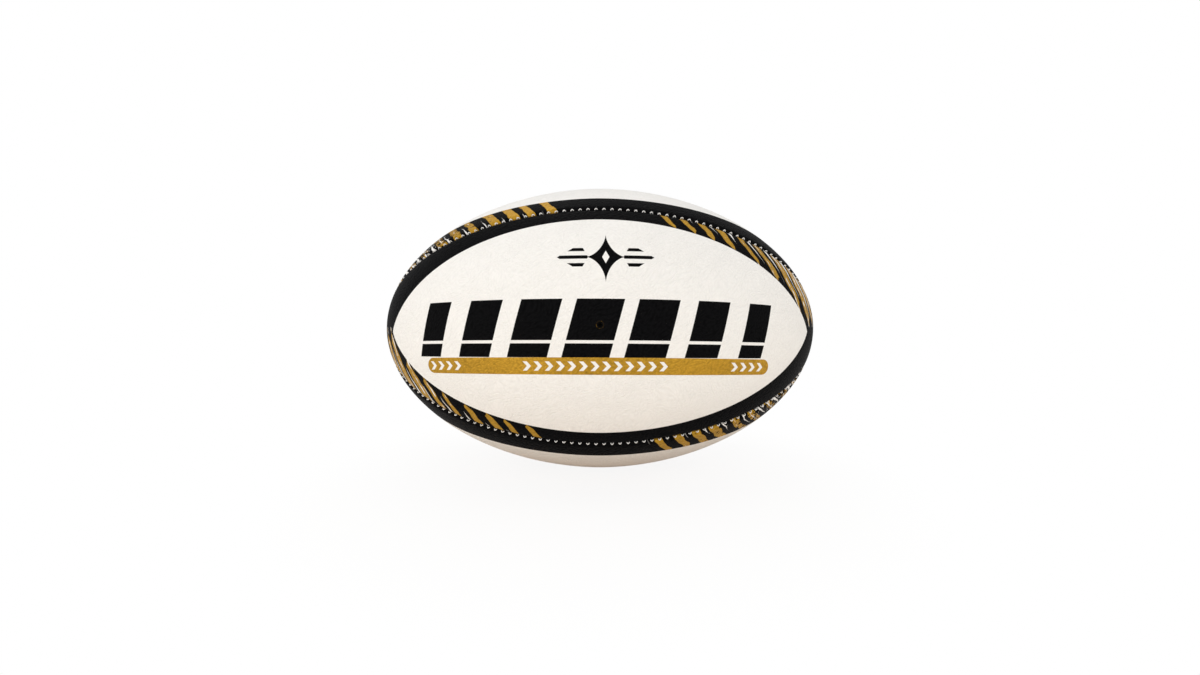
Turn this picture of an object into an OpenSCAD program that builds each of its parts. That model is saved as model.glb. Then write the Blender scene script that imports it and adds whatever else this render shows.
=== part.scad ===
// Four-panel rugby ball, hand stitched, lying on its side.
// The long axis is X, +Z is up, and the origin is the centre of the ball.
// The front panel faces -Y and holds the inflation valve.
// Each panel is a moulded rubber skin on three bonded cloth plies. Its edges turn inwards and are
// sewn to the next panel's, and a bladder with a needle valve fills the casing.

/* [Ball] */
// Length from tip to tip
ball_length = 290; // [270:1:300]
// Diameter at the middle
ball_diameter = 188; // [176:1:197]
// Fullness of the long profile: 2 is a true ellipse, and less has sharper tips
profile_power = 1.92; // [1.86:0.01:2]

/* [Panels] */
// Thickness of the moulded rubber skin
rubber_thickness = 1.2; // [1:0.1:1.4]
// Thickness of one cloth ply
ply_thickness = 0.4; // [0.3:0.05:0.45]
// How far the turned-in edges reach below the outer surface
turned_edge_depth = 6.2; // [5.8:0.1:8]
// Width of the slot between two turned-in edges, which pressure opens as far as the thread lets it
seam_opening = 0.8; // [0.4:0.1:1.2]

/* [Stitching] */
// Distance from one stitch to the next along the seam
stitch_pitch = 4.5; // [4:0.1:7]
// Distance from each tip to the first stitch
first_stitch = 9; // [8:0.5:14]
// Diameter of the waxed thread where it crosses the seam
thread_diameter = 0.9; // [0.7:0.05:1]
// Width of the thread where it is pulled flat along the cloth
thread_flat = 1.1; // [1:0.05:1.3]
// Room that the awl leaves round the thread in a hole
awl_clearance = 0.15; // [0.1:0.05:0.2]
// Cloth left between the awl's holes and the curve of the panel
hole_margin = 0.45; // [0.4:0.05:0.6]
// Diameter of the knots at the ends of a seam
knot_diameter = 2; // [1.6:0.1:2.2]

/* [Bladder] */
// Wall of the inflated bladder
bladder_wall = 0.6; // [0.4:0.1:1]
// Gap between the bladder and what it presses on
bladder_clearance = 0.25; // [0.2:0.05:0.4]

/* [Valve] */
// Hole in the rubber skin over the valve
skin_hole = 2.8; // [2.6:0.1:4]
// Diameter of the bore that takes the pump needle
needle_bore = 2; // [1.8:0.1:2.2]
// Length of that bore
needle_bore_length = 5; // [4:0.5:7]
// Diameter of the self-sealing core
core_diameter = 4.6; // [4:0.1:5.2]
// Diameter of the core's head
core_head_diameter = 6.4; // [5.8:0.1:7]
// Thickness of the core's head
core_head_thickness = 1.6; // [1.2:0.1:2.2]
// Diameter of the valve's boss and stem
stem_diameter = 9.4; // [8.6:0.1:11]
// Length of the valve from the boss's face to the stem's end
valve_length = 17; // [14:0.5:22]
// Diameter of the flange bonded inside the bladder
valve_flange_diameter = 28; // [24:1:34]
// Thickness of that flange
valve_flange_thickness = 1.2; // [1:0.1:1.6]
// Diameter of the rubber patch that covers the flange
patch_diameter = 40; // [38:1:48]
// Thickness of the patch
patch_thickness = 0.7; // [0.5:0.1:1]
// Gap between the boss and the skin and cloth round it
boss_clearance = 0.25; // [0.2:0.05:0.35]
// Width of the needle slit in the core
slit_width = 2.8; // [2.4:0.1:3.4]
// Gap of the closed slit
slit_gap = 0.12; // [0.1:0.01:0.2]

/* [Hidden] */
// Panels, each with the angle about X that takes it from facing +Z to its place
PANEL_ANGLES = [["front", 90], ["top", 0], ["back", -90], ["bottom", 180]];
// Seams, each with the angle about X that takes it from +Z to its place
SEAM_ANGLES = [["front_top", 45], ["top_back", -45], ["back_bottom", -135], ["bottom_front", 135]];
PLIES = ["outer", "middle", "inner"];

skin_colour = [0.94, 0.92, 0.89];
ply_colours = [[0.86, 0.84, 0.78], [0.80, 0.78, 0.72], [0.74, 0.72, 0.66]];
thread_colour = [0.95, 0.95, 0.93];
bladder_colour = [0.80, 0.66, 0.42];
valve_colour = [0.12, 0.12, 0.12];
patch_colour = [0.45, 0.34, 0.22];

half_length = ball_length / 2;
half_diameter = ball_diameter / 2;
half_opening = seam_opening / 2;
laminate = rubber_thickness + ply_thickness * len(PLIES);
lip_radius = laminate;              // a folded sheet's outer radius is its own thickness
profile_steps = 36;                 // steps of the long profile from tip to tip
lip_steps = 4;                      // steps round a lip
reach = ball_length;                // longer than anything that it has to cut
over = 1;                           // how far a cut runs past a face
cutter_clear = 3;                   // how far the lip's cutter stands above the outer surface
cutter_drop = 5.8;                  // how far its end rings hang below the tips
round_fn = 48;
thread_fn = 24;

// ---- The long profile ----

// Point of the outer profile, [x, radius], at an angle from 0 at the +X tip to 180 at the -X tip
function outline(angle) = let (c = cos(angle), s = sin(angle), e = 2 / profile_power)
    [half_length * sign(c) * pow(abs(c), e), half_diameter * pow(max(s, 0), e)];

// Outward normal of the profile there
function outline_normal(angle) = let (
    p = outline(angle),
    q = profile_power - 1,
    n = [sign(p[0]) * pow(abs(p[0]) / half_length, q) / half_length,
         pow(p[1] / half_diameter, q) / half_diameter])
    n / norm(n);

function profile_point(angle, depth) = outline(angle) - depth * outline_normal(angle);

// The profile at one depth below the outer surface, between two angles
function profile_points(depth, from = 0, to = 180) =
    [for (i = [0 : profile_steps]) profile_point(from + (to - from) * i / profile_steps, depth)];

// The solid inside the surface that lies at one depth below the outer surface
module ovoid(depth) {
    rotate([0, 90, 0])
        rotate_extrude($fn = 96)
            polygon([for (p = profile_points(depth)) [p[1], p[0]]]);
}

// The quarter that faces +Z, with both its flat sides set in by one distance
module quarter(inset) {
    rotate([45, 0, 0])
        translate([-reach, inset, inset])
            cube([2 * reach, reach, reach]);
}

// One layer of a panel that faces +Z: the curved sheet and its two turned-in edges
module panel_layer(outer, inner) {
    difference() {
        intersection() {
            ovoid(outer);
            quarter(half_opening + outer);
        }
        intersection() {
            ovoid(inner);
            quarter(half_opening + inner);
        }
        ovoid(turned_edge_depth);
    }
}

// Puts children made for the seam at +Y of a panel that faces +Z on both its edges
module on_both_edges() {
    for (side = [0, 1])
        mirror([0, side, 0])
            rotate([45, 0, 0])
                children();
}

// ---- Seams ----

// What the round lip leaves out beside a seam, in the seam's section: [across, up]
lip_section = let (
    a = half_opening,
    r = lip_radius)
    concat(
        [[-over, cutter_clear], [-over, -r], [a, -r]],
        [for (i = [1 : lip_steps]) let (t = 90 * i / lip_steps) [a + r * (1 - cos(t)), -r * (1 - sin(t))]],
        [[a + r, cutter_clear]]);

// The lip's section swept along the seam, with a first and a last ring past the tips
module lip_cutter() {
    n = len(lip_section);
    angles = [for (i = [0 : profile_steps]) 180 * i / profile_steps];
    rings = concat(
        [[outline(0) - [0, cutter_drop], [1, 0]]],
        [for (a = angles) [outline(a), outline_normal(a)]],
        [[outline(180) - [0, cutter_drop], [-1, 0]]]);
    points = [for (r = rings, q = lip_section)
        [r[0][0] + q[1] * r[1][0], q[0], r[0][1] + q[1] * r[1][1]]];
    sides = [for (j = [0 : len(rings) - 2], k = [0 : n - 1]) let (k2 = (k + 1) % n)
        each [[j * n + k, j * n + k2, (j + 1) * n + k2], [j * n + k, (j + 1) * n + k2, (j + 1) * n + k]]];
    caps = [[for (k = [n - 1 : -1 : 0]) k], [for (k = [0 : n - 1]) (len(rings) - 1) * n + k]];
    polyhedron(points = points, faces = concat(sides, caps), convexity = 6);
}

// Distance along the profile from the +X tip, in small steps, and the angle at each
arc_steps = 360;
arc_angles = [for (i = [0 : arc_steps]) 180 * i / arc_steps];
arc_lengths = [for (i = 0, s = 0; i <= arc_steps;
    s = s + (i < arc_steps ? norm(outline(arc_angles[i + 1]) - outline(arc_angles[i])) : 0), i = i + 1) s];
angle_of_length = [for (i = [0 : arc_steps]) [arc_lengths[i], arc_angles[i]]];

seam_length = arc_lengths[arc_steps];
stitch_count = floor((seam_length - 2 * first_stitch) / stitch_pitch) + 1;
stitch_spacing = (seam_length - 2 * first_stitch) / (stitch_count - 1);
stitch_angles = [for (k = [0 : stitch_count - 1])
    lookup(first_stitch + k * stitch_spacing, angle_of_length)];

awl_diameter = thread_diameter + 2 * awl_clearance;
thread_depth = laminate + hole_margin + awl_diameter / 2;
cloth_side = half_opening + laminate;         // from the middle of the seam to the cloth's face

// Puts children at every stitch of the seam at +Z, with their Z across the seam
module at_stitches() {
    for (a = stitch_angles) {
        p = profile_point(a, thread_depth);
        translate([p[0], 0, p[1]])
            rotate([-90, 0, 0])
                children();
    }
}

module awl_holes() {
    on_both_edges()
        at_stitches()
            translate([0, 0, -over])
                cylinder(h = cloth_side + 2 * over, d = awl_diameter, $fn = thread_fn);
}

// The thread pulled flat along the cloth on one side of the seam
module thread_run() {
    from = stitch_angles[0];
    to = stitch_angles[stitch_count - 1];
    upper = profile_points(thread_depth - thread_flat / 2, from, to);
    lower = profile_points(thread_depth + thread_flat / 2, from, to);
    n = len(lower);
    translate([0, cloth_side + thread_diameter, 0])
        rotate([90, 0, 0])
            linear_extrude(thread_diameter)
                polygon(concat(upper, [for (i = [1 : n]) lower[n - i]]));
}

// ---- Sub-parts ----

module panel(turn, with_valve) {
    color(skin_colour)
        rotate([turn, 0, 0])
            difference() {
                panel_layer(0, rubber_thickness);
                on_both_edges() lip_cutter();
                awl_holes();
                if (with_valve)
                    cylinder(h = reach, d = skin_hole, $fn = round_fn);
            }
}

module ply(turn, index, with_valve) {
    outer = rubber_thickness + index * ply_thickness;
    color(ply_colours[index])
        rotate([turn, 0, 0])
            difference() {
                panel_layer(outer, outer + ply_thickness);
                awl_holes();
                if (with_valve)
                    cylinder(h = reach, d = stem_diameter + 2 * boss_clearance, $fn = round_fn);
            }
}

module stitching(turn) {
    crossing = 2 * cloth_side + thread_diameter;
    color(thread_colour)
        rotate([turn, 0, 0]) {
            at_stitches()
                cylinder(h = crossing, d = thread_diameter, center = true, $fn = thread_fn);
            for (side = [0, 1])
                mirror([0, side, 0]) {
                    thread_run();
                    for (k = [0, stitch_count - 1]) {
                        p = profile_point(stitch_angles[k], thread_depth);
                        translate([p[0], cloth_side + thread_diameter / 2, p[1]])
                            rotate([90, 0, 0])
                                cylinder(h = thread_diameter, d = knot_diameter, center = true, $fn = thread_fn);
                    }
                }
        }
}

bladder_depth = laminate + bladder_clearance;
channel_depth = turned_edge_depth + bladder_clearance;
channel_reach = cloth_side + thread_diameter + bladder_clearance;

// The bladder's form, which closes round the turned-in edges in a channel at each seam
module bladder_form(inset) {
    ovoid(channel_depth + inset);
    difference() {
        ovoid(bladder_depth + inset);
        for (turn = [45, -45])
            rotate([turn, 0, 0])
                cube([2 * reach, 2 * (channel_reach + inset), 2 * reach], center = true);
    }
}

module bladder() {
    color(bladder_colour)
        difference() {
            bladder_form(0);
            bladder_form(bladder_wall);
            rotate([90, 0, 0])
                cylinder(h = reach, d = stem_diameter, $fn = round_fn);
        }
}

boss_face = half_diameter - rubber_thickness - boss_clearance;
flange_depth = bladder_depth + bladder_wall;

// A disc of one diameter between two depths below the outer surface, over the valve
module curved_disc(diameter, outer, inner) {
    intersection() {
        difference() {
            ovoid(outer);
            ovoid(inner);
        }
        cylinder(h = reach, d = diameter, $fn = round_fn);
    }
}

module valve_stem() {
    color(valve_colour)
        rotate([90, 0, 0])
            difference() {
                union() {
                    curved_disc(valve_flange_diameter, flange_depth, flange_depth + valve_flange_thickness);
                    translate([0, 0, boss_face - valve_length])
                        cylinder(h = valve_length, d = stem_diameter, $fn = round_fn);
                }
                translate([0, 0, boss_face - valve_length - over])
                    cylinder(h = valve_length + 2 * over, d = core_diameter, $fn = round_fn);
                translate([0, 0, boss_face - core_head_thickness])
                    cylinder(h = core_head_thickness + over, d = core_head_diameter, $fn = round_fn);
            }
}

module valve_core() {
    color(valve_colour)
        rotate([90, 0, 0])
            difference() {
                union() {
                    translate([0, 0, boss_face - core_head_thickness])
                        cylinder(h = core_head_thickness, d = core_head_diameter, $fn = round_fn);
                    translate([0, 0, boss_face - valve_length])
                        cylinder(h = valve_length, d = core_diameter, $fn = round_fn);
                }
                translate([0, 0, boss_face - needle_bore_length])
                    cylinder(h = needle_bore_length + over, d = needle_bore, $fn = round_fn);
                translate([0, 0, boss_face - (needle_bore_length + valve_length + over) / 2])
                    cube([slit_width, slit_gap, valve_length - needle_bore_length + over], center = true);
            }
}

module valve_patch() {
    flange_inside = flange_depth + valve_flange_thickness;
    color(patch_colour)
        rotate([90, 0, 0])
            difference() {
                curved_disc(patch_diameter, flange_depth, flange_inside + patch_thickness);
                curved_disc(valve_flange_diameter, flange_depth - over, flange_inside);
                cylinder(h = reach, d = stem_diameter, $fn = round_fn);
            }
}

// ---- Every node ----

for (p = PANEL_ANGLES) {
    panel(p[1], p[0] == "front");
    for (i = [0 : len(PLIES) - 1])
        ply(p[1], i, p[0] == "front");
}
for (s = SEAM_ANGLES)
    stitching(s[1]);
bladder();
valve_stem();
valve_core();
valve_patch();
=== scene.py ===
"""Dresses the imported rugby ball: printed and pebbled skins, waxed stitches, cloth, bladder and valve."""

import math
from typing import NamedTuple

import bmesh
import bpy
import numpy as np
from bpy.props import FloatProperty, FloatVectorProperty, IntProperty, PointerProperty
from mathutils import Matrix, Vector


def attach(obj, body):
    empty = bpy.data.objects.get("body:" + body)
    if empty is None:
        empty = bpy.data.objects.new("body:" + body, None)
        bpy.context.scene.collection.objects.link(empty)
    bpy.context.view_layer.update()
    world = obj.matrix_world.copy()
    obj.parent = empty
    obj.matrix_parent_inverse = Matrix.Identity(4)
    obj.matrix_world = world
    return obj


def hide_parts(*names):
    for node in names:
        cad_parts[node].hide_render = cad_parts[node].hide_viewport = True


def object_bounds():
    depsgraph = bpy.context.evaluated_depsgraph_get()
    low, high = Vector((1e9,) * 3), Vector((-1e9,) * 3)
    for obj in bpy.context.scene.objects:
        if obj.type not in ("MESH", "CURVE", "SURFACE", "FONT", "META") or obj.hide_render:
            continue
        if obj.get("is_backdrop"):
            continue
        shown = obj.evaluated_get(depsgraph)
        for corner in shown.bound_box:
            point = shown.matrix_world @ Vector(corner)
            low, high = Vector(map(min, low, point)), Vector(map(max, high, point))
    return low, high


bl_info = {
    "name": "Rugby ball",
    "version": (1, 0, 0),
    "blender": (4, 5, 0),
    "location": "3D Viewport > Sidebar > Ball",
    "description": "Makes a four-panel rugby ball with printed skins and sewn seams",
    "category": "Add Mesh",
}

MM = 0.001

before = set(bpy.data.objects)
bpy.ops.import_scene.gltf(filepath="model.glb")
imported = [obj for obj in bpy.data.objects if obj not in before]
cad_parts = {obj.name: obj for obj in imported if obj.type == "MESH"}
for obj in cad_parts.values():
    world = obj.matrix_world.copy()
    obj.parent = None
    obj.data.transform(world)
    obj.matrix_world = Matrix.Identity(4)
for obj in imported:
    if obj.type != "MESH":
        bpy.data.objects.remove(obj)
cad_low, cad_high = (Vector(corner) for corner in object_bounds())
half_length = cad_high.x / MM
half_diameter = cad_high.z / MM

# The turn about X that takes each panel, and each seam, from facing +Z to its place
PANELS = {"front": 90, "top": 0, "back": -90, "bottom": 180}
SEAMS = {"front_top": 45, "top_back": -45, "back_bottom": -135, "bottom_front": 135}


# ---- sizes and colours


class BallSizes(bpy.types.PropertyGroup):
    profile_power: FloatProperty(
        name="Profile power", description="2 is a true ellipse, and less has sharper tips",
        default=1.92, min=1.8, max=2)
    skin: FloatProperty(
        name="Skin", description="Thickness of the rubber skin, in mm", default=1.2, min=0.5)
    rows: IntProperty(
        name="Rows", description="Rows of faces from tip to tip", default=560, min=60)


class SeamSizes(bpy.types.PropertyGroup):
    pitch: FloatProperty(
        name="Pitch", description="From one stitch to the next, in mm", default=4.5, min=3)
    first: FloatProperty(
        name="First stitch", description="From the tip to the first stitch, in mm", default=9, min=5)
    lip: FloatProperty(
        name="Lip", description="Radius of the turned-in edge, in mm", default=2.6, min=1)
    gap: FloatProperty(
        name="Gap", description="Half of the seam's opening at its thread, in mm", default=0.5, min=0.1)
    dip: FloatProperty(
        name="Dip", description="How far the tight seam draws the panels in, in mm", default=0.1, min=0)
    pucker: FloatProperty(
        name="Pucker", description="How far a stitch pulls its lips in, in mm", default=0.14, min=0)
    thread: FloatProperty(
        name="Thread", description="Diameter of the waxed thread, in mm", default=0.6, min=0.3)
    stitch: FloatProperty(
        name="Stitch", description="Length of the thread that shows, in mm", default=1.5, min=1)
    rise: FloatProperty(
        name="Rise", description="Depth of a stitch's crown below the surface, in mm", default=0.15)
    sink: FloatProperty(
        name="Sink", description="Depth of a stitch's ends below the surface, in mm", default=0.95)
    skew: FloatProperty(
        name="Skew", description="Turn of a stitch across the seam",
        default=math.radians(9), subtype="ANGLE")
    wobble: FloatProperty(
        name="Wobble", description="How far single stitches turn from that", default=0.12, subtype="ANGLE")


class PrintSizes(bpy.types.PropertyGroup):
    cream: FloatVectorProperty(
        name="Cream", description="Bare rubber", subtype="COLOR", default=(0.88, 0.868, 0.845))
    black: FloatVectorProperty(
        name="Black", description="Black ink", subtype="COLOR", default=(0.0025, 0.0025, 0.0028))
    gold: FloatVectorProperty(
        name="Gold", description="Gold ink", subtype="COLOR", default=(0.45, 0.252, 0.028))
    white: FloatVectorProperty(
        name="White", description="White ink", subtype="COLOR", default=(0.86, 0.85, 0.83))
    field: FloatProperty(
        name="Field", description="Half-width of a printed panel's field, in mm", default=62.9)
    plain_field: FloatProperty(
        name="Plain field", description="Half-width of a plain panel's field, in mm", default=60.9)
    field_reach: FloatProperty(
        name="Field reach", description="From the middle to the field's tips, in mm", default=140)
    bar_pitch: FloatProperty(
        name="Bar pitch", description="From one speed bar to the next, in mm", default=30.5)
    bar_height: FloatProperty(
        name="Bar height", description="Height of the speed bars, in mm", default=30)
    ribbon: FloatProperty(
        name="Ribbon", description="Length of the gold ribbon, in mm", default=200.5)
    stroke_pitch: FloatProperty(
        name="Stroke pitch", description="From one edge stroke to the next, in mm", default=10.7)


class StageSizes(bpy.types.PropertyGroup):
    distance: FloatProperty(
        name="Distance", description="From the camera to the ball's centre", default=0.3277, unit="LENGTH")
    elevation: FloatProperty(
        name="Elevation", description="Camera's height angle", default=math.radians(-1.0), subtype="ANGLE")
    lens: FloatProperty(
        name="Lens", description="Focal length", default=13.96, unit="CAMERA")
    shift: FloatProperty(
        name="Shift", description="How far the view is moved up, as a share of its width", default=-0.0079)
    surroundings: FloatProperty(
        name="Surroundings", description="Strength of the even light from all round", default=0.57, min=0)


# ---- node trees


class Value:
    """One socket of a node tree, which arithmetic turns into Math nodes."""

    def __init__(self, nodes, socket):
        self.nodes, self.socket = nodes, socket

    def math(self, operation, *others):
        return self.nodes.math(operation, self, *others)

    def __add__(self, other):
        return self.math("ADD", other)

    __radd__ = __add__

    def __sub__(self, other):
        return self.math("SUBTRACT", other)

    def __rsub__(self, other):
        return self.nodes.math("SUBTRACT", other, self)

    def __mul__(self, other):
        return self.math("MULTIPLY", other)

    __rmul__ = __mul__

    def __truediv__(self, other):
        return self.math("DIVIDE", other)

    def __rtruediv__(self, other):
        return self.nodes.math("DIVIDE", other, self)

    def __pow__(self, other):
        return self.math("POWER", other)

    def __abs__(self):
        return self.math("ABSOLUTE")

    def __neg__(self):
        return self * -1

    def __and__(self, other):
        """The smaller of two values, which is where both of two masks are."""
        return self.math("MINIMUM", other)

    def __or__(self, other):
        """The larger of two values, which is where either of two masks is."""
        return self.math("MAXIMUM", other)

    def clamped(self):
        """This sum, kept from 0 to 1."""
        self.socket.node.use_clamp = True
        return self

    def below(self, limit, blur=0.12):
        """1 where this is under the limit, and 0 past it, with a soft edge as wide as blur."""
        return ((limit - self) / blur + 0.5).clamped()

    def above(self, limit, blur=0.12):
        """1 where this is past the limit, and 0 under it, with a soft edge as wide as blur."""
        return ((self - limit) / blur + 0.5).clamped()

    def fraction(self):
        """Distance from the nearest whole number, from -0.5 to 0.5."""
        return (self + 0.5).math("FRACT") - 0.5

    def whole(self):
        """The nearest whole number."""
        return self.math("ROUND")


class Nodes:
    """A material's, a world's or a shape's node tree, with one method that adds any node."""

    def __init__(self, tree):
        self.tree = tree

    def add(self, kind, settings=None, *values, out=0, **named):
        """Adds a node and sets or links its sockets, by their order or name; None leaves a socket alone."""
        node = self.tree.nodes.new(kind)
        for name, value in (settings or {}).items():
            setattr(node, name, value)
        for key, value in [*enumerate(values), *((k.replace("_", " "), v) for k, v in named.items())]:
            if isinstance(value, Value):
                self.tree.links.new(value.socket, node.inputs[key])
            elif value is not None:
                node.inputs[key].default_value = value
        return Value(self, node.outputs[out]) if node.outputs else None

    def math(self, operation, *values):
        return self.add("ShaderNodeMath", {"operation": operation}, *values)

    def mix(self, factor, first, second):
        """A colour between two colours."""
        number_and_vector_sockets = [None] * 5
        first, second = (c if isinstance(c, Value) else (*c, 1) for c in (first, second))
        return self.add("ShaderNodeMix", {"data_type": "RGBA"}, factor, *number_and_vector_sockets,
                        first, second, out=2)

    def vector(self, x, y, z=0.0):
        return self.add("ShaderNodeCombineXYZ", None, x, y, z)

    def parts(self, vector):
        """The three numbers of a vector."""
        node = self.add("ShaderNodeSeparateXYZ", None, vector).socket.node
        return [Value(self, socket) for socket in node.outputs]

    def place(self):
        """Object coordinates, in m."""
        return self.add("ShaderNodeTexCoord", out="Object")

    def stored(self, name, out="Fac"):
        """What was stored on each point under a name."""
        return self.add("ShaderNodeAttribute", {"attribute_name": name}, out=out)

    def noise(self, place, scale, detail, dimensions="3D", out=0):
        """Cloudy values round 0.5, at a place or, in one dimension, at a number."""
        settings = {"noise_dimensions": dimensions}
        sockets = (None, place) if dimensions == "1D" else (place, None)
        return self.add("ShaderNodeTexNoise", settings, *sockets, scale, detail, out=out)

    def chance(self, number):
        """A value from 0 to 1 of its own for each number."""
        return self.add("ShaderNodeTexWhiteNoise", {"noise_dimensions": "1D"}, W=number)

    def bump(self, height, strength, distance):
        return self.add("ShaderNodeBump", None, Strength=strength, Distance=distance, Height=height)


def new_material(name):
    """An empty material and its nodes."""
    material = bpy.data.materials.new(name)
    material.use_nodes = True
    material.node_tree.nodes.clear()
    return material, Nodes(material.node_tree)


def close_material(nodes, **inputs):
    """Ends a material's tree with a surface shader and its inputs."""
    surface = nodes.add("ShaderNodeBsdfPrincipled", None, **inputs)
    nodes.add("ShaderNodeOutputMaterial", None, surface)


def shades(colour, *factors):
    """A colour's darker and lighter shades, none past white."""
    return [tuple(min(1, part * factor) for part in colour) for factor in factors]


# ---- the ball's form

OUTLINE_POINTS = 20001  # on the profile, to measure its length
PROFILE_POINTS = 4001  # on the profile that a panel is wrapped round
SEAM_POINTS = 700  # on the path of a row of stitches
DIP_REACH = 5.0  # how far from the seam its pull is felt, in mm


class BallForm:
    """The smooth ball's profile, by the distance along it from the middle, in mm."""

    def __init__(self, power):
        self.power = power
        angles = np.linspace(0, math.pi, OUTLINE_POINTS)
        x, radius = self.outline(angles)
        steps = np.hypot(np.diff(x), np.diff(radius))
        lengths = np.concatenate([[0], np.cumsum(steps)])
        self.length = lengths[-1]
        self.angles, self.along = angles[::-1], self.length / 2 - lengths[::-1]

    def outline(self, angle):
        """X and radius of the superellipse at an angle."""
        cosine, sine, bulge = np.cos(angle), np.maximum(np.sin(angle), 0), 2 / self.power
        return half_length * np.sign(cosine) * abs(cosine) ** bulge, half_diameter * sine**bulge

    def profile(self, along):
        """X and radius of the ball at a distance from the middle."""
        return self.outline(np.interp(along, self.along, self.angles))


def lip_height(distance, seam, gap):
    """How far the surface lies below the smooth ball at a distance from the seam."""
    inward = np.clip(seam.lip + gap - distance, 0, seam.lip)
    fold = seam.lip - np.sqrt(seam.lip**2 - inward**2)
    return -fold - seam.dip * np.exp(-((distance / DIP_REACH) ** 2))


def stitch_places(form, seam):
    """Distances of the stitches from the middle, along the seam."""
    count = int((form.length - 2 * seam.first) // seam.pitch) + 1
    return np.linspace(-form.length / 2 + seam.first, form.length / 2 - seam.first, count)


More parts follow.
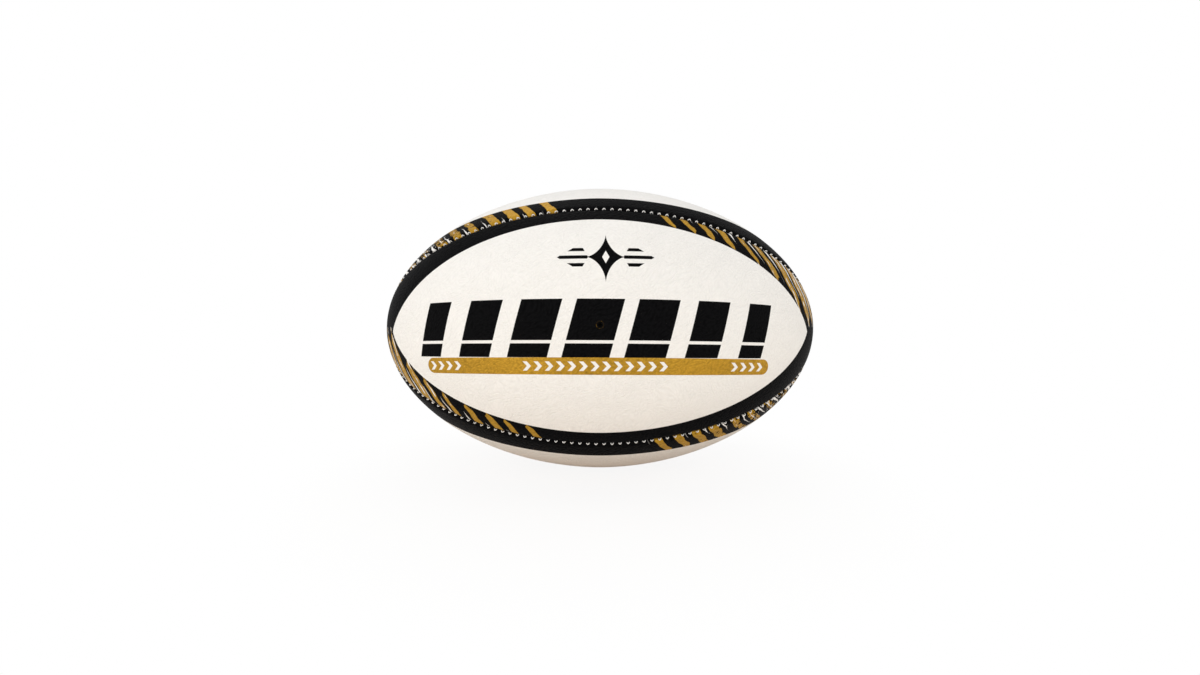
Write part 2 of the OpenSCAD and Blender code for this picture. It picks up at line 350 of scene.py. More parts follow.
class FlatPanel:
    """The closed skin of one panel laid flat: rows along it, and a loop of columns round its section.

    Its places are the distance along the panel, the distance across it and the height over the smooth ball.
    """

    FLANGE = (-5.5, -4.4, -3.4)  # heights on the turned-in edge
    FLANGE_MEET = 4.2  # how far below the lips two turned-in edges would meet
    LIP_COLUMNS = 8  # columns round a lip's outer side
    INNER_LIP_COLUMNS = 4
    SHOULDER = (0.8, 1.9, 3.4, 5.4, 8.0)  # past the lip, before the even columns
    INNER_SHOULDER = (3.4, 8.0)
    EVEN = 13  # even columns on each side of the middle
    REACH = 16.0  # lips are squeezed where half the panel is narrower than this
    TIP = 0.8  # the first and last rows' distance from the tips
    HOLE_ROWS = 6  # rows on each side of the valve hole's patch
    HOLE_RADIUS = 1.35
    HOLE_RINGS = 5
    HOLE_CROWDING = 0.7  # below 1, the rings crowd towards the hole
    HOLE_EDGE, HOLE_ROUNDING = 0.8, 0.18  # share of the rings where its edge starts, and how far it falls

    def __init__(self, form, ball, seam):
        self.ball, self.seam = ball, seam
        self.rows = np.linspace(-form.length / 2 + self.TIP, form.length / 2 - self.TIP, ball.rows + 1)
        stitches = stitch_places(form, seam)
        phase = (self.rows - stitches[0]) / (stitches[1] - stitches[0])
        sewn = (self.rows > stitches[0] - seam.pitch) & (self.rows < stitches[-1] + seam.pitch)
        self.gap = seam.gap - seam.pucker * np.cos(2 * math.pi * phase) * sewn
        self.half_width = form.profile(self.rows)[1] * math.pi / 4
        self.squeeze = np.minimum(1, self.half_width / self.REACH)

    def half_section(self, inner):
        """Distance from the seam and height of each column from the edge to the middle, row by row."""
        thick = self.ball.skin if inner else 0.0
        gap, lip = self.gap[:, None], self.seam.lip
        heights = np.array(self.FLANGE)
        wall = gap * (1 + (heights + lip) / self.FLANGE_MEET) + thick
        turn = np.linspace(0, math.pi / 2, self.INNER_LIP_COLUMNS if inner else self.LIP_COLUMNS)
        fold = gap + lip - (lip - thick) * np.cos(turn)
        shoulder = gap + lip + np.array(self.INNER_SHOULDER if inner else self.SHOULDER)
        near = np.concatenate([wall, fold, shoulder], axis=1) * self.squeeze[:, None]
        last = near[:, -1:]
        even = last + (self.half_width[:, None] - last) * np.linspace(0, 1, self.EVEN + 1)[1:]
        distance = np.concatenate([near, even], axis=1)
        height = lip_height(distance, self.seam, gap) - thick
        height[:, :len(heights)] = heights
        if inner:
            height[:, len(heights):len(heights) + len(turn)] = -lip + (lip - thick) * np.sin(turn)
        return distance, height

    def points(self):
        """Every point, rows by columns round the section, and the number of columns on the outer side."""
        sides = []
        for inner in (False, True):
            distance, height = self.half_section(inner)
            along = np.repeat(self.rows[:, None], distance.shape[1], axis=1)
            across = self.half_width[:, None] - distance
            near = np.stack([along, -across, height], axis=-1)
            far = np.stack([along, across, height], axis=-1)[:, -2::-1]
            sides.append(np.concatenate([near, far], axis=1))
        return np.concatenate([sides[0], sides[1][:, ::-1]], axis=1), sides[0].shape[1]

    def build(self, name, with_hole):
        """The flat panel's mesh."""
        places, outer = self.points()
        rows, loop = places.shape[:2]
        places = places.reshape(-1, 3)
        index = np.arange(rows * loop).reshape(rows, loop)
        following = np.roll(index, -1, axis=1)
        keep = np.ones((rows - 1, loop), bool)
        middle_row, middle = rows // 2, outer // 2
        inner_middle = outer + (loop - outer) // 2
        low, high = middle_row - self.HOLE_ROWS, middle_row + self.HOLE_ROWS
        if with_hole:
            for centre in (middle, inner_middle):
                keep[low:high, centre - 1:centre + 1] = False
        quads = np.stack([index[:-1], following[:-1], following[1:], index[1:]], axis=-1)[keep]
        faces = quads.tolist() + [index[0].tolist(), index[-1, ::-1].tolist()]
        if with_hole:
            places, more = self.hole(places, index, low, high, middle, inner_middle)
            faces += more
        mesh = bpy.data.meshes.new(name)
        mesh.from_pydata((places * MM).tolist(), [], faces)
        return mesh

    def hole(self, places, index, low, high, middle, inner_middle):
        """Rings of faces from the two openings in the grid to the valve hole, and its wall."""
        faces, circles = [], []
        for centre, depth in ((middle, 0.0), (inner_middle, -self.ball.skin)):
            rim = [index[r, centre - 1] for r in range(low, high)]
            rim += [index[high, c] for c in range(centre - 1, centre + 1)]
            rim += [index[r, centre + 1] for r in range(high, low, -1)]
            rim += [index[low, c] for c in range(centre + 1, centre - 1, -1)]
            start = places[rim][:, :2]
            circle = start / np.linalg.norm(start, axis=1)[:, None] * self.HOLE_RADIUS
            last = rim
            for step in range(1, self.HOLE_RINGS + 1):
                share = (step / self.HOLE_RINGS) ** self.HOLE_CROWDING
                spot = start * (1 - share) + circle * share
                past_edge = max(0, share - self.HOLE_EDGE) / (1 - self.HOLE_EDGE)
                rounded = -self.HOLE_ROUNDING * past_edge if depth == 0 else 0
                ring = np.column_stack([spot, np.full(len(spot), depth + rounded)])
                new = np.arange(len(places), len(places) + len(ring))
                places = np.concatenate([places, ring])
                faces += [[last[i - 1], last[i], new[i], new[i - 1]] for i in range(len(new))]
                last = new.tolist()
            circles.append((last, circle))
        (outer, flat), (inner, inner_flat) = circles
        pair = [int(np.argmin(np.linalg.norm(inner_flat - spot, axis=1))) for spot in flat]
        faces += [[outer[i - 1], outer[i], inner[pair[i]], inner[pair[i - 1]]] for i in range(len(outer))]
        return places, [[int(v) for v in face] for face in faces]


def finish_piece(name, mesh, material, turn, node):
    """Turns a mesh about X to its place, its faces outwards, and puts it in the scene for its node."""
    mesh.transform(Matrix.Rotation(math.radians(turn), 4, "X"))
    work = bmesh.new()
    work.from_mesh(mesh)
    bmesh.ops.recalc_face_normals(work, faces=work.faces)
    work.to_mesh(mesh)
    work.free()
    mesh.shade_smooth()
    mesh.materials.clear()
    mesh.materials.append(material)
    piece = bpy.data.objects.new(name, mesh)
    bpy.context.scene.collection.objects.link(piece)
    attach(piece, "root")
    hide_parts(node)


# ---- the print and the grain

GRAIN_TURN = math.radians(38)  # the way the leather grain of the mould runs
GRAIN_CELL = (1.9, 1.0)  # length and width of one pebble, in mm
GRAIN_BEND = 16.0  # how far the grain wanders, in mm
GRAIN_WANDER = 0.035  # how often it turns, in 1/mm
GRAIN_DEPTH = 0.0006  # in m
PEBBLE_SOFTNESS = 0.4
CRUMPLES = 0.6  # crumples in the length of one pebble
PEBBLE_SHARE, CRUMPLE_SHARE = 0.6, 0.5  # of the grain's height

BAR_COUNT = 7
BAR_PLACE = (-3, -1.7)  # middle of the row of speed bars, along and across the panel, in mm
BAR_LEAN = 0.27
BAR_WIDTH, BAR_TAPER = 0.4, 0.045  # half a bar's width, and its loss from one bar to the next
BAR_EDGE = 0.006  # softness of its edge; these three are shares of the bars' pitch
LINE_LEVEL, LINE_HALF = -8.6, 0.8  # the thin line through the bars, in mm

STAR_PLACE = (3, 36.3)  # middle of the star, in mm
STAR_HALF = (10.5, 14.6)  # half its width and height, in mm
STAR_CURVE = 0.62  # below 1, its sides curve in
LOZENGE_HALF = (1.9, 3.8)  # the lozenge left open in it, in mm
WING_PITCH, WING_HALF = 4.6, 6.4  # of the speed lines beside it, and half the height of all, in mm
WING_LINE, WING_EDGE = 0.22, 0.03  # half a line's width and its softness, as shares of that pitch
WING_ENDS = (9.2, 25.6)  # where the lines start and end, in mm
WING_SLANTS = (0.5, 1.5)  # how much their ends slant

RIBBON_PLACE = (-1.4, -21.2)  # middle of the gold ribbon, in mm
RIBBON_HALF = 4.6  # half its width, in mm
MARK_PITCH, MARK_HALF, MARK_LEAN = 5.9, 2.5, 0.9  # the white chevrons in it, in mm
MARK_LINE, MARK_EDGE = 0.19, 0.03  # half a chevron's thickness and its softness, as shares of that pitch
SIDE_MARKS = (13, 16)  # numbers of the chevrons at its ends, counted from the middle
MIDDLE_MARKS = 6

ROW_TILT = 0.0055  # how much the rows of print turn
ROW_BOW, RIBBON_BOW = 1.2, 0.8  # how far they bow 100 mm from the middle, and the ribbon more, in mm


class Strokes(NamedTuple):
    """Two rows of brush strokes on one kind of panel."""

    first: float  # from the middle of the ball to the first stroke, in mm
    shift: float  # how far both rows lie towards the +X tip, in mm
    width: float  # half a stroke's width, as a share of the strokes' pitch
    growth: float  # how fast the strokes widen at the tips
    white: float  # fullness of the white slivers and of the glints painted in the gold
    torn: bool  # whether the gold is worn and the white splashed


FIELD_STROKES = Strokes(first=69.9, shift=0.0, width=0.165, growth=1.1, white=1.0, torn=False)
PLAIN_STROKES = Strokes(first=65.5, shift=2.5, width=0.2, growth=0.1, white=0.6, torn=True)


def grain(nodes, s, w):
    """The moulded leather grain of the rubber: its height from 0 to 1, and its normal."""
    spot = nodes.vector(s, w)
    drift = nodes.noise(spot, GRAIN_WANDER, 2.0, "2D", out="Color")
    bent = nodes.add("ShaderNodeVectorMath", {"operation": "MULTIPLY_ADD"}, drift, (GRAIN_BEND,) * 3, spot)
    u, v, _ = nodes.parts(bent)
    cos, sin = math.cos(GRAIN_TURN), math.sin(GRAIN_TURN)
    cell = nodes.vector((u * cos + v * sin) / GRAIN_CELL[0], (v * cos - u * sin) / GRAIN_CELL[1])
    from_middle = nodes.add("ShaderNodeTexVoronoi", {"voronoi_dimensions": "2D", "feature": "SMOOTH_F1"},
                            cell, Scale=1.0, Smoothness=PEBBLE_SOFTNESS)
    crumple = nodes.noise(cell, CRUMPLES, 4.0, "2D")
    height = (1.15 - from_middle * 1.3) * PEBBLE_SHARE + crumple * CRUMPLE_SHARE
    return height, nodes.bump(height, 0.6, GRAIN_DEPTH)


class Brushwork:
    """Slanted gold brush strokes with white between them, on the bands of two opposite quarters of a panel.

    S runs along the panel and w across it. The share is 0 at the field's edge and 1 at the seam. Widths and
    offsets are shares of the strokes' pitch.
    """

    LEAN = 0.5  # how far a stroke runs along the ball for each mm across the panel
    BRISTLES = (0.9, 0.16)  # how often the bristles part, along and across the panel, in 1/mm
    BENDS, BEND = 0.09, 0.22  # how often a stroke bends, in 1/mm, and how far
    OUTWARD = (45, 65)  # where the strokes start to change, and over how much, in mm
    MIDDLE_FADE = 7  # strokes thin out this near to the panel's middle line, in mm
    FIELD_FADE = 5  # how fast they end at a printed field's edge
    TIP_SEED, SLIVER_SEED = 40, 7  # they give the +X tip and the slivers chances of their own

    STRAY, SLIVER_STRAY = 0.2, 0.16  # how far single strokes lie off their even places
    FRINGE, SLIVER_FRINGE = 0.13, 0.06  # how ragged the bristles leave an edge
    EDGE, SLIVER_EDGE = 0.03, 0.02  # its softness
    UNEVEN = 0.07  # how much the strokes' widths differ
    SEAM_GROWTH, TIP = 0.03, 0.9  # how much wider they are at the seam, and where a tip begins

    CORE_PLACE, CORE_FRINGE = 0.05, 0.3  # painted glints: the white in the gold strokes near the tips
    CORE_START, CORE_GROWTH = 0.8, 0.14  # how far out it starts, and how fast it widens
    SLIVER_PLACE = 0.52  # from a gold stroke to the next sliver
    SLIVER_START = 0.85  # near the ball's middle they keep past this share of the band
    SLIVER_SLANT = 0.05  # how much more they lean
    SLIVER_GROWTH, SLIVER_MOST = 0.7, 0.55  # how much further in they reach near the tips, and at most
    SLIVER_WIDTH = (0.1, 0.12)  # least taper, and what chance adds

    DROPS = 0.4  # how often worn spots and splashes come, in 1/mm
    WORN_UNDER, WORN_RISE = 0.27, 0.24  # the noise under which gold is worn, and its rise at the tips
    SPLASH_OVER, SPLASH_FALL = 0.86, 0.21  # the noise over which white splashes, and its fall at the tips
    SPLASH_START = 0.35  # splashes lie nearer to the seam than this share

    def __init__(self, nodes, s, w, share, pitch, strokes):
        self.nodes, self.s, self.w, self.share, self.strokes = nodes, s, w, share, strokes
        lean = s + w * self.LEAN - strokes.shift
        self.side = s.above(0) * self.TIP_SEED
        along, across = self.BRISTLES
        self.bristle = nodes.noise(nodes.vector(lean * along, w * across), 1.0, 3.0, "2D") - 0.5
        bend = nodes.noise(w * self.BENDS + self.side, 1.0, 1.0, "1D") - 0.5
        self.phase = (abs(lean) - strokes.first) / pitch + bend * self.BEND
        self.here = (s * w).above(0, 1.0) & self.phase.above(-0.5, 0.02)
        start, length = self.OUTWARD
        self.outward = ((abs(s) - start) / length).clamped()
        self.ends = (abs(w) / self.MIDDLE_FADE).clamped()
        if not strokes.torn:
            self.ends = self.ends & share * self.FIELD_FADE

    def stroke(self, phase, seed, stray):
        """The nearest stroke's own chance, and how far its middle line is."""
        chance = self.nodes.chance(phase.whole() + self.side + seed)
        return chance, phase.fraction() + (chance - 0.5) * stray

    def gold(self):
        """The gold strokes, and the white cores painted in them near the tips as glints."""
        chance, away = self.stroke(self.phase, 0, self.STRAY)
        growth = ((self.outward - self.TIP) | 0.0) * self.strokes.growth
        uneven = (chance - 0.5) * self.UNEVEN
        width = (self.strokes.width + uneven + self.share * self.SEAM_GROWTH + growth) * self.ends
        gold = (abs(away) + self.bristle * self.FRINGE).below(width, self.EDGE)
        width = (self.outward - self.CORE_START) * self.CORE_GROWTH * self.strokes.white
        return gold, (abs(away + self.CORE_PLACE) + self.bristle * self.CORE_FRINGE).below(width, self.EDGE)

    def slivers(self):
        """White slivers between the gold strokes, which taper from the seam and grow towards the tips."""
        chance, away = self.stroke(self.phase - self.SLIVER_PLACE, self.SLIVER_SEED, self.SLIVER_STRAY)
        away = away + self.share * self.SLIVER_SLANT
        reach = (self.outward * self.SLIVER_GROWTH) & self.SLIVER_MOST
        least, more = self.SLIVER_WIDTH
        width = (self.share - self.SLIVER_START + reach) * (least + chance * more) * self.strokes.white
        return (abs(away) + self.bristle * self.SLIVER_FRINGE).below(width * self.ends, self.SLIVER_EDGE)

    def wear(self):
        """Spots where the gold is worn off, and white splashes near the seam."""
        spot = self.nodes.vector(self.s * self.DROPS, self.w * self.DROPS, self.side)
        drops = self.nodes.noise(spot, 1.0, 2.0)
        worn = drops.below(self.WORN_UNDER + self.outward * self.WORN_RISE, 0.02)
        splash = drops.above(self.SPLASH_OVER - self.outward * self.SPLASH_FALL, 0.02)
        return worn, splash & (self.share - self.SPLASH_START).above(0, 0.2)

    def masks(self):
        """Where the gold and the white lie."""
        gold, core = self.gold()
        # the white holds the white slivers and the glints painted in the gold
        gold, white = gold & self.here, core | self.slivers()
        if self.strokes.torn:
            worn, splash = self.wear()
            gold, white = gold & (1 - worn), white | splash
        return gold, white & self.here


def star_mask(x, y):
    """A four-pointed star with a lozenge left open, and three speed lines on each side."""
    wide, high = abs(x), abs(y)
    star = ((wide / STAR_HALF[0]) ** STAR_CURVE + (high / STAR_HALF[1]) ** STAR_CURVE).below(1, 0.02)
    lozenge = (wide / LOZENGE_HALF[0] + high / LOZENGE_HALF[1]).below(1, 0.06)
    lines = abs((y / WING_PITCH).fraction()).below(WING_LINE, WING_EDGE) & high.below(WING_HALF)
    past_start = (wide - high * WING_SLANTS[0]).above(WING_ENDS[0])
    before_end = (wide + high * WING_SLANTS[1]).below(WING_ENDS[1])
    return (star & (1 - lozenge)) | (lines & past_start & before_end)


def bars_mask(s, level, sizes):
    """A row of slanted speed bars, narrower towards the tips, with a thin line left open through them."""
    bar = (s - BAR_PLACE[0] - level * BAR_LEAN) / sizes.bar_pitch
    bars = abs(bar.fraction()).below(BAR_WIDTH - abs(bar.whole()) * BAR_TAPER, BAR_EDGE)
    bars = bars & abs(bar).below(BAR_COUNT / 2, BAR_EDGE)
    line = abs(level - LINE_LEVEL).below(LINE_HALF)
    return bars & abs(level - BAR_PLACE[1]).below(sizes.bar_height / 2) & (1 - line)


def ribbon_masks(x, y, length):
    """A ribbon with round ends, and its three groups of chevrons."""
    past = (abs(x) - (length / 2 - RIBBON_HALF)) | 0.0
    ribbon = (past * past + y * y).math("SQRT").below(RIBBON_HALF)
    mark = (x + abs(y) * MARK_LEAN) / MARK_PITCH
    number = abs(mark.whole())
    first, last = SIDE_MARKS
    group = number.below(MIDDLE_MARKS + 0.5) | (number.above(first - 0.5) & number.below(last + 0.5))
    chevrons = abs(mark.fraction()).below(MARK_LINE, MARK_EDGE) & abs(y).below(MARK_HALF)
    return ribbon, ribbon & chevrons & group


def graphics_masks(s, w, sizes):
    """Black and gold ink, and white marks left in the gold, on a printed field."""
    bow = (s / 100) ** 2
    level = w + s * ROW_TILT + bow * ROW_BOW
    x, y = s - RIBBON_PLACE[0], level - RIBBON_PLACE[1] + bow * RIBBON_BOW
    ribbon, marks = ribbon_masks(x, y, sizes.ribbon)
    star = star_mask(s - STAR_PLACE[0], w - STAR_PLACE[1])
    return bars_mask(s, level, sizes) | star, ribbon, marks


# ---- materials

FIELD_CURVE = 0.84  # below 1, the field's edges are fuller towards its tips
FIELD_BOW = 1.1  # how far a printed field bows 100 mm from the middle, in mm
CLOUDS, FLAKES = 26.0, 700.0  # how often the rubber's tint and the ink's flakes change, in 1/m
GROOVE, GROOVE_EDGE = 0.9, 0.8  # reach of the painted shade that darkens a seam's groove towards black, and its softness, in mm
RIM, RIM_EDGE = (1.9, 2.2), 0.15  # a patchy brownish ring round the valve hole, mixed from a dark shade of the gold, in mm

FINE_DEPTH = 0.0001  # of strands, weave and bloom, in m
TWISTS, STRANDS = 5, 2  # turns of a stitch's strands, and their number
CLOTH_WEAVE = 6000  # how often the cloth's threads cross, in radians per m
STAINS = 40.0  # how often the latex stains in it come, in 1/m


def skin_material(name, sizes, printed, with_hole=False):
    """Cream rubber with its printed edge bands and, on a printed panel, the field's graphics."""
    material, nodes = new_material(name)
    s, w, seam = nodes.parts(nodes.stored("panel_place", "Vector"))
    run = (1 - (s / sizes.field_reach) ** 2) | 0.0
    field = run**FIELD_CURVE * (sizes.field if printed else sizes.plain_field) - 0.1
    bowed = abs(w + (abs(s) / 100) ** 3 * FIELD_BOW) if printed else abs(w)
    black = bowed.above(field)
    share = (bowed - field) / ((abs(w) + seam - field) | 0.5)
    strokes = FIELD_STROKES if printed else PLAIN_STROKES
    gold, white = Brushwork(nodes, s, w, share, sizes.stroke_pitch, strokes).masks()
    gold, white = gold & black, white & black
    if printed:
        ink, ribbon, marks = graphics_masks(s, w, sizes)
        black, gold, white = black | ink, gold | ribbon, white | marks

    place = nodes.place()
    cloud = nodes.noise(place, CLOUDS, 4.0)
    flake = nodes.noise(place, FLAKES, 3.0)
    height, bump = grain(nodes, s, w)
    # The gold's tint follows clouds, flakes and the grain's height, which lightens pebble tops as painted
    # sheen.
    shade = (cloud - 0.5) * 0.9 + (flake - 0.5) * 1.2 + height * 0.8 + 0.1
    # Painted shade and sheen on the grain: the cream darkens in the pebbles' hollows, and the black ink
    # lightens on their tops.
    colour = nodes.mix(height, *shades(sizes.cream, 0.925, 1.02))
    colour = nodes.mix(black, colour, nodes.mix(height, *shades(sizes.black, 0.5, 2.2)))
    colour = nodes.mix(gold, colour, nodes.mix(shade, *shades(sizes.gold, 0.66, 1.2)))
    # White ink, and the glints painted white in the gold strokes near the tips.
    colour = nodes.mix(white, colour, sizes.white)
    # Painted shade: the colour darkens towards black in a seam's groove.
    colour = nodes.mix(seam.below(GROOVE, GROOVE_EDGE) * 0.6, colour, sizes.black)
    if with_hole:
        edge = (s * s + w * w).math("SQRT") + cloud * 0.4
        rim = edge.above(RIM[0], RIM_EDGE) & edge.below(RIM[1], RIM_EDGE)
        colour = nodes.mix(rim * (0.15 + flake.above(0.5, 0.06) * 0.6), colour, *shades(sizes.gold, 0.25))
    rough = 0.6 - (black | gold) * 0.12 + (cloud - 0.5) * 0.1
    close_material(nodes, Base_Color=colour, Roughness=rough, Metallic=gold * (1 - white) * 0.5,
                   Specular_IOR_Level=0.01, Normal=bump)
    return material


def thread_material():
    """Waxed thread, which shows its twisted strands."""
    material, nodes = new_material("waxed thread")
    turns = nodes.stored("strand_along") * TWISTS + nodes.stored("strand_around") * STRANDS
    strand = (turns * (2 * math.pi)).math("SINE") * 0.5 + 0.5
    # Painted shade: the colour darkens in the creases between the strands.
    colour = nodes.mix(strand, (0.84, 0.83, 0.81), (0.95, 0.95, 0.93))
    close_material(nodes, Base_Color=colour, Roughness=0.45, Normal=nodes.bump(strand, 0.5, FINE_DEPTH))
    return material


def cloth_material(name, colour):
    """Woven poly-cotton set in latex."""
    material, nodes = new_material(name)
    place = nodes.place()
    x, y, z = nodes.parts(place)
    weave = (x * CLOTH_WEAVE).math("SINE") * ((y + z) * CLOTH_WEAVE).math("SINE") * 0.5 + 0.5
    stain = nodes.noise(place, STAINS, 4.0)
    shade = nodes.mix(weave * 0.6 + stain * 0.4, *shades(colour, 0.8, 1))
    bump = nodes.bump(weave, 0.5, FINE_DEPTH)
    close_material(nodes, Base_Color=shade, Roughness=0.85 - stain * 0.15, Normal=bump)
    return material


def rubber_material(name, colour, fine, rough, gloss=0.5):
    """Plain moulded or dipped rubber with a faint bloom."""
    material, nodes = new_material(name)
    bloom = nodes.noise(nodes.place(), fine, 5.0)
    shade = nodes.mix(bloom, *shades(colour, 0.8, 1.25))
    close_material(nodes, Base_Color=shade, Roughness=rough + (bloom - 0.5) * 0.2,
                   Specular_IOR_Level=gloss, Normal=nodes.bump(bloom, 0.2, FINE_DEPTH))
    return material


# ---- shapes made by Geometry Nodes

ARC_STEPS = 11  # steps along a stitch
THREAD_SIDES = 7  # faces round its thread


def new_shape(name, **inputs):
    """An empty Geometry Nodes tree with named inputs: its nodes and the inputs' values."""
    tree = bpy.data.node_groups.new(name, "GeometryNodeTree")
    tree.interface.new_socket("Geometry", in_out="OUTPUT", socket_type="NodeSocketGeometry")
    for key, kind in inputs.items():
        tree.interface.new_socket(key.replace("_", " "), in_out="INPUT", socket_type="NodeSocket" + kind)
    nodes = Nodes(tree)
    first = nodes.add("NodeGroupInput").socket
    return nodes, {socket.name: Value(nodes, socket) for socket in first.node.outputs if socket.name}


def close_shape(nodes, shape, material):
    """Ends a tree with real geometry in its material."""
    solid = nodes.add("GeometryNodeRealizeInstances", None, shape)
    solid = nodes.add("GeometryNodeSetMaterial", None, solid, None, material)
    nodes.add("NodeGroupOutput", None, solid)
    return nodes.tree


def store(nodes, shape, name, value, kind="FLOAT"):
    """Keeps a value on each point of a shape under a name."""
    return nodes.add("GeometryNodeStoreNamedAttribute", {"data_type": kind, "domain": "POINT"},
                     shape, None, name, value)


def through_nodes(name, mesh, tree, values):
    """What a tree makes of a mesh, as a plain mesh."""
    holder = bpy.data.objects.new(name, mesh)
    bpy.context.scene.collection.objects.link(holder)
    modifier = holder.modifiers.new(tree.name, "NODES")
    modifier.node_group = tree
    for socket in tree.interface.items_tree:
        if socket.in_out == "INPUT" and socket.name in values:
            modifier[socket.identifier] = values[socket.name]
    ready = holder.evaluated_get(bpy.context.evaluated_depsgraph_get())
    result = bpy.data.meshes.new_from_object(ready)
    bpy.data.objects.remove(holder)
    return result


def panel_tree():
    """Wraps a flat panel round the ball, whose profile from tip to tip is a superellipse."""
    nodes, give = new_shape("Panel", Flat_panel="Geometry", Half_length="Float", Half_diameter="Float",
                            Power="Float", Profile_points="Int", Material="Material")
    reach, girth, power = give["Half length"], give["Half diameter"], give["Power"]

    line = nodes.add("GeometryNodeMeshLine", None, Count=give["Profile points"])
    angle = nodes.add("GeometryNodeInputIndex") * math.pi / (give["Profile points"] - 1)
    cosine, sine = angle.math("COSINE"), angle.math("SINE") | 0.0
    bulge = 2 / power
    bent = nodes.vector(-cosine.math("SIGN") * abs(cosine) ** bulge * reach, 0.0, sine**bulge * girth)
    line = nodes.add("GeometryNodeSetPosition", None, line, None, bent)
    profile = nodes.add("GeometryNodeMeshToCurve", None, line)
    half = nodes.add("GeometryNodeCurveLength", None, profile) * 0.5

    along, across, height = nodes.parts(nodes.add("GeometryNodeInputPosition"))
    place = nodes.add("GeometryNodeSampleCurve", {"mode": "LENGTH"}, Curves=profile, Length=along + half,
                      out="Position")
    x, _, radius = nodes.parts(place)
    steep = power - 1
    level = (abs(x) / reach) ** steep / reach * x.math("SIGN")
    upright = (radius / girth) ** steep / girth
    size = (level * level + upright * upright).math("SQRT")
    turn = across / radius
    lifted = radius + height * upright / size
    wrapped = nodes.vector(x + height * level / size, lifted * turn.math("SINE"),
                           lifted * turn.math("COSINE"))

    edge = radius * (math.pi / 4) - abs(across)
    marks = nodes.vector(along / MM, across / MM, edge / MM)
    panel = store(nodes, give["Flat panel"], "panel_place", marks, "FLOAT_VECTOR")
    panel = nodes.add("GeometryNodeSetPosition", None, panel, None, wrapped)
    return close_shape(nodes, panel, give["Material"])


def stitch_tree(material):
    """One looped stitch on every place along a seam that faces +Z."""
    nodes, give = new_shape("Stitches", Seam="Geometry", Stitches="Int", Length="Float", Rise="Float",
                            Sink="Float", Thread="Float", Skew="Float", Wobble="Float", Seed="Int")
    path = nodes.add("GeometryNodeMeshToCurve", None, give["Seam"])
    places = nodes.add("GeometryNodeResampleCurve", None, path, Count=give["Stitches"])

    half, sink = give["Length"] * 0.5, give["Sink"]
    crown = sink - give["Rise"] * 2
    arc = nodes.add("GeometryNodeCurveQuadraticBezier", None, ARC_STEPS, nodes.vector(-half, 0.0, -sink),
                    nodes.vector(0.0, 0.0, crown), nodes.vector(half, 0.0, -sink))
    ring = nodes.add("GeometryNodeCurvePrimitiveCircle", {"mode": "RADIUS"}, Resolution=THREAD_SIDES,
                     Radius=give["Thread"] * 0.5)
    share = nodes.add("GeometryNodeSplineParameter")
    arc = store(nodes, arc, "strand_along", share)
    ring = store(nodes, ring, "strand_around", share)
    stitch = nodes.add("GeometryNodeCurveToMesh", None, arc, ring, Fill_Caps=True)

    tangent = nodes.add("GeometryNodeInputTangent")
    outward = nodes.add("ShaderNodeVectorMath", {"operation": "CROSS_PRODUCT"}, tangent, (0.0, 1.0, 0.0))
    level = nodes.add("FunctionNodeAlignRotationToVector", {"axis": "X"}, Vector=tangent)
    stand = nodes.add("FunctionNodeAlignRotationToVector", {"axis": "Z", "pivot_axis": "X"}, level,
                      Vector=outward)
    vector_sockets = (None, None)
    wobble = nodes.add("FunctionNodeRandomValue", {"data_type": "FLOAT"}, *vector_sockets, -give["Wobble"],
                       give["Wobble"], Seed=give["Seed"], out=1)
    turn = nodes.add("FunctionNodeAxisAngleToRotation", None, (0.0, 0.0, 1.0), give["Skew"] + wobble)
    turned = nodes.add("FunctionNodeRotateRotation", {"rotation_space": "LOCAL"}, stand, turn)
    row = nodes.add("GeometryNodeInstanceOnPoints", None, places, Instance=stitch, Rotation=turned)
    return close_shape(nodes, row, material)


def sew(name, form, seam, tree, seed):
    """The row of stitches of a seam that faces +Z, on the smooth ball from the first stitch to the last."""
    places = stitch_places(form, seam)
    x, radius = form.profile(np.linspace(places[0], places[-1], SEAM_POINTS))
    points = np.column_stack([x, 0 * x, radius]) * MM
    path = bpy.data.meshes.new(name)
    path.from_pydata(points.tolist(), [(i, i + 1) for i in range(len(points) - 1)], [])
    values = {"Stitches": len(places), "Length": seam.stitch * MM, "Rise": seam.rise * MM,
              "Sink": seam.sink * MM, "Thread": seam.thread * MM, "Skew": seam.skew,
              "Wobble": seam.wobble, "Seed": seed}
    return through_nodes(name, path, tree, values)


# ---- operators


class BALL_OT_panels(bpy.types.Operator):
    """Makes the four printed skins with their turned-in edges and the valve hole"""

    bl_idname = "ball.panels"
    bl_label = "Panels"

    def execute(self, context):
        scene = context.scene
        form = BallForm(scene.ball_sizes.profile_power)
        flat = FlatPanel(form, scene.ball_sizes, scene.ball_seam)
        tree = panel_tree()
        plain = skin_material("banded skin", scene.ball_print, False)
        skins = {
            "front": skin_material("front skin", scene.ball_print, True, with_hole=True),
            "top": plain,
            "back": skin_material("back skin", scene.ball_print, True),
            "bottom": plain,
        }
        values = {"Half length": half_length * MM, "Half diameter": half_diameter * MM,
                  "Power": form.power, "Profile points": PROFILE_POINTS}
        for name, turn in PANELS.items():
            values["Material"] = skins[name]
            mesh = through_nodes(name, flat.build(name, name == "front"), tree, values)
            finish_piece(f"{name}_panel", mesh, skins[name], turn, f"panel_{name}")
        return {"FINISHED"}


class BALL_OT_stitches(bpy.types.Operator):
    """Sews the four seams"""

    bl_idname = "ball.stitches"
    bl_label = "Stitches"

    def execute(self, context):
        scene = context.scene
        form = BallForm(scene.ball_sizes.profile_power)
        material = thread_material()
        tree = stitch_tree(material)
        for seed, (name, turn) in enumerate(SEAMS.items()):
            mesh = sew(name, form, scene.ball_seam, tree, seed)
            finish_piece(f"{name}_stitches", mesh, material, turn, f"stitching_{name}")
        return {"FINISHED"}


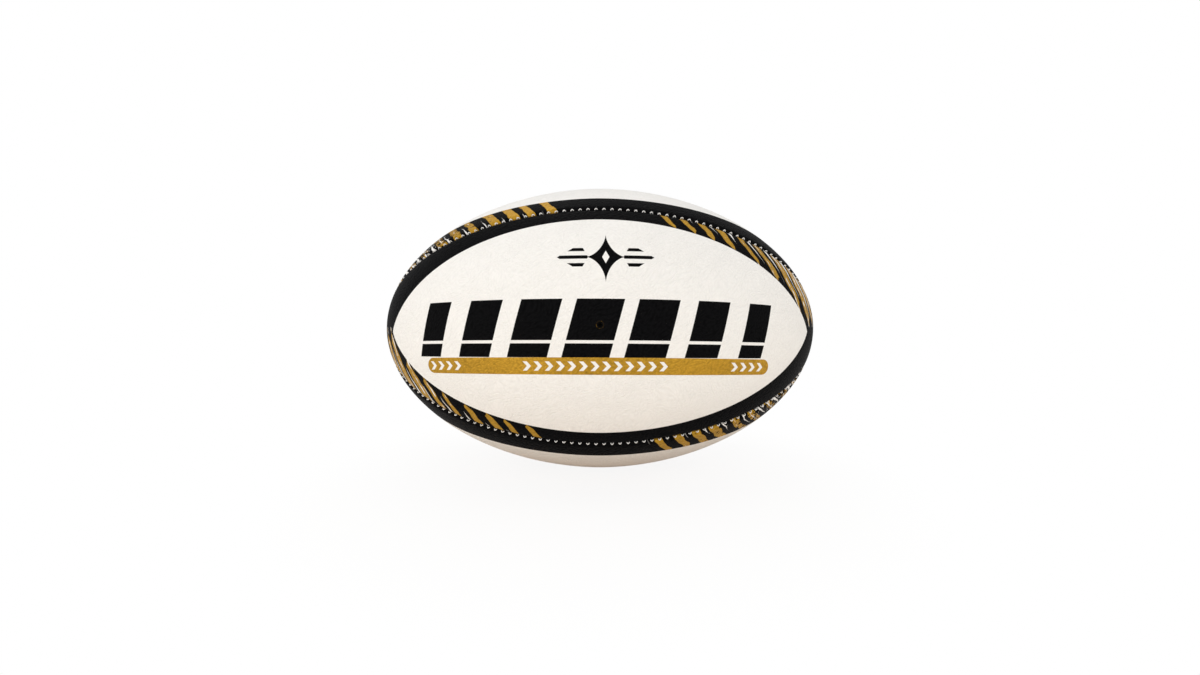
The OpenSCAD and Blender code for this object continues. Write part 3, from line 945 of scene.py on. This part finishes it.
class BALL_OT_inside(bpy.types.Operator):
    """Gives the plies, the bladder and the valve their finishes"""

    bl_idname = "ball.inside"
    bl_label = "Inside"

    def execute(self, context):
        finishes = {
            "outer_ply": cloth_material("outer cloth", (0.74, 0.71, 0.64)),
            "middle_ply": cloth_material("middle cloth", (0.68, 0.65, 0.58)),
            "inner_ply": cloth_material("inner cloth", (0.62, 0.59, 0.52)),
            "bladder": rubber_material("latex", (0.55, 0.40, 0.20), fine=60, rough=0.35),
            "valve_stem": rubber_material("valve rubber", (0.012,) * 3, fine=300, rough=0.5, gloss=0.1),
            "valve_core": rubber_material("core rubber", (0.004,) * 3, fine=500, rough=0.5, gloss=0.05),
            "valve_patch": rubber_material("patch rubber", (0.22, 0.15, 0.09), fine=120, rough=0.6),
        }
        for name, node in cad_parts.items():
            for start, material in finishes.items():
                if name.startswith(start):
                    node.data.materials.clear()
                    node.data.materials.append(material)
        return {"FINISHED"}


# ---- the stage

LAMP_COLOUR = (1.0, 0.985, 0.965)

# Each lamp's place in m, power in W, and width and height in m
LAMPS = {
    "front light": ((-0.05, -1.0, 0.03), 4.25, 2.8, 0.24),
    "left light": ((-0.95, -0.6, 0.03), 2.6, 1.2, 0.24),
    "right light": ((0.95, -0.6, 0.03), 1.75, 1.2, 0.24),
    "top light": ((-0.2, 0.1, 1.3), 6.2, 1.2, 1.0),
}

FLOOR_REACH = 4.0  # half the floor's side, in m
FLOOR_NEAR = (0.82, 0.64, 0.48)  # under the ball: darker and warmer as painted shade, which also darkens the light the floor throws onto the ball's underside
FLOOR_FAR = (0.88, 0.81, 0.72)
FADE_FROM, FADE_OVER = 0.04, 0.16  # where one gives way to the other, in m from the middle
FLOOR_WHITE = 0.9  # how white the floor under the ball looks, and far away it is 1
FLOOR_SHINE, ROOM_SHINE = 0.6, 0.4  # how white shiny things see the floor and the room

SENSOR_WIDTH = 36  # in mm
NEAREST, FARTHEST = 0.01, 20  # what the camera can see, in m


def add_light(name, place, power, width, height):
    """A soft, slightly warm light that faces the ball."""
    lamp = bpy.data.lights.new(name, "AREA")
    lamp.shape, lamp.size, lamp.size_y, lamp.energy = "RECTANGLE", width, height, power
    lamp.color = LAMP_COLOUR
    holder = bpy.data.objects.new(name, lamp)
    holder.location = place
    holder.rotation_euler = (-Vector(place)).to_track_quat("-Z", "Y").to_euler()
    bpy.context.scene.collection.objects.link(holder)


def backdrop_rays(nodes):
    """The rays from the camera, and those that shiny and clear things send, which all see a white room."""
    camera, glossy, through = (nodes.add("ShaderNodeLightPath", out=key) for key in
                               ("Is Camera Ray", "Is Glossy Ray", "Is Transmission Ray"))
    return camera, glossy | through


def floor_material():
    """A pale warm floor, painted darker under the ball as shade, that fades to plain white round the ball
    and keeps its soft shadow.
    """
    material, nodes = new_material("floor")
    x, y, _ = nodes.parts(nodes.place())
    away = (((x * x + y * y).math("SQRT") - FADE_FROM) / FADE_OVER).clamped()
    # Painted shade: the floor's colour darkens and warms under the ball.
    surface = nodes.add("ShaderNodeBsdfPrincipled", None, Base_Color=nodes.mix(away, FLOOR_NEAR, FLOOR_FAR),
                        Roughness=0.9, Specular_IOR_Level=0.1)
    white = nodes.add("ShaderNodeEmission", None, (1, 1, 1, 1), 1.0)
    camera, other = backdrop_rays(nodes)
    shown = camera * (away * (1 - FLOOR_WHITE) + FLOOR_WHITE) | other * FLOOR_SHINE
    mixed = nodes.add("ShaderNodeMixShader", None, shown, surface, white)
    nodes.add("ShaderNodeOutputMaterial", None, mixed)
    return material


def room_world(strength):
    """Even light from all round, in a room that looks white."""
    world = bpy.data.worlds.new("surroundings")
    world.use_nodes = True
    world.node_tree.nodes.clear()
    nodes = Nodes(world.node_tree)
    camera, other = backdrop_rays(nodes)
    brightness = (camera | other * ROOM_SHINE) * (1 - strength) + strength
    sky = nodes.add("ShaderNodeBackground", None, (1, 1, 1, 1), brightness)
    nodes.add("ShaderNodeOutputWorld", None, sky)
    return world


class BALL_OT_stage(bpy.types.Operator):
    """Sets the floor, the lights, the white surroundings and the camera"""

    bl_idname = "ball.stage"
    bl_label = "Stage"

    def execute(self, context):
        scene, sizes = context.scene, context.scene.ball_stage
        scene.view_settings.view_transform = "Standard"
        scene.world = room_world(sizes.surroundings)
        for name, values in LAMPS.items():
            add_light(name, *values)

        floor_mesh = bpy.data.meshes.new("floor")
        sides = ((-1, -1), (1, -1), (1, 1), (-1, 1))
        corners = [(x * FLOOR_REACH, y * FLOOR_REACH, cad_low.z) for x, y in sides]
        floor_mesh.from_pydata(corners, [], [(0, 1, 2, 3)])
        floor_mesh.materials.append(floor_material())
        floor = bpy.data.objects.new("floor", floor_mesh)
        scene.collection.objects.link(floor)
        floor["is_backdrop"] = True

        lens = bpy.data.cameras.new("camera")
        lens.lens, lens.sensor_width, lens.shift_y = sizes.lens, SENSOR_WIDTH, sizes.shift
        lens.clip_start, lens.clip_end = NEAREST, FARTHEST
        camera = bpy.data.objects.new("camera", lens)
        away, up = math.cos(sizes.elevation), math.sin(sizes.elevation)
        camera.location = (0, -sizes.distance * away, sizes.distance * up)
        camera.rotation_euler = (math.pi / 2 - sizes.elevation, 0, 0)
        scene.collection.objects.link(camera)
        scene.camera = camera
        return {"FINISHED"}


# ---- the add-on


class BALL_PT_panel(bpy.types.Panel):
    """Lists the ball's sizes, colours and operators"""

    bl_label = "Rugby ball"
    bl_space_type = "VIEW_3D"
    bl_region_type = "UI"
    bl_category = "Ball"

    def draw(self, context):
        for name, group in GROUPS.items():
            box = self.layout.box()
            for key in group.__annotations__:
                box.prop(getattr(context.scene, name), key)
        for operator in OPERATORS:
            self.layout.operator(operator.bl_idname)


GROUPS = {
    "ball_sizes": BallSizes,
    "ball_seam": SeamSizes,
    "ball_print": PrintSizes,
    "ball_stage": StageSizes,
}
OPERATORS = [BALL_OT_panels, BALL_OT_stitches, BALL_OT_inside, BALL_OT_stage]
CLASSES = [*GROUPS.values(), *OPERATORS, BALL_PT_panel]


def register():
    for cls in CLASSES:
        bpy.utils.register_class(cls)
    for name, group in GROUPS.items():
        setattr(bpy.types.Scene, name, PointerProperty(type=group))


def unregister():
    for name in GROUPS:
        delattr(bpy.types.Scene, name)
    for cls in reversed(CLASSES):
        bpy.utils.unregister_class(cls)


def main():
    register()
    bpy.ops.ball.panels()
    bpy.ops.ball.stitches()
    bpy.ops.ball.inside()
    bpy.ops.ball.stage()


if __name__ == "__main__":
    main()
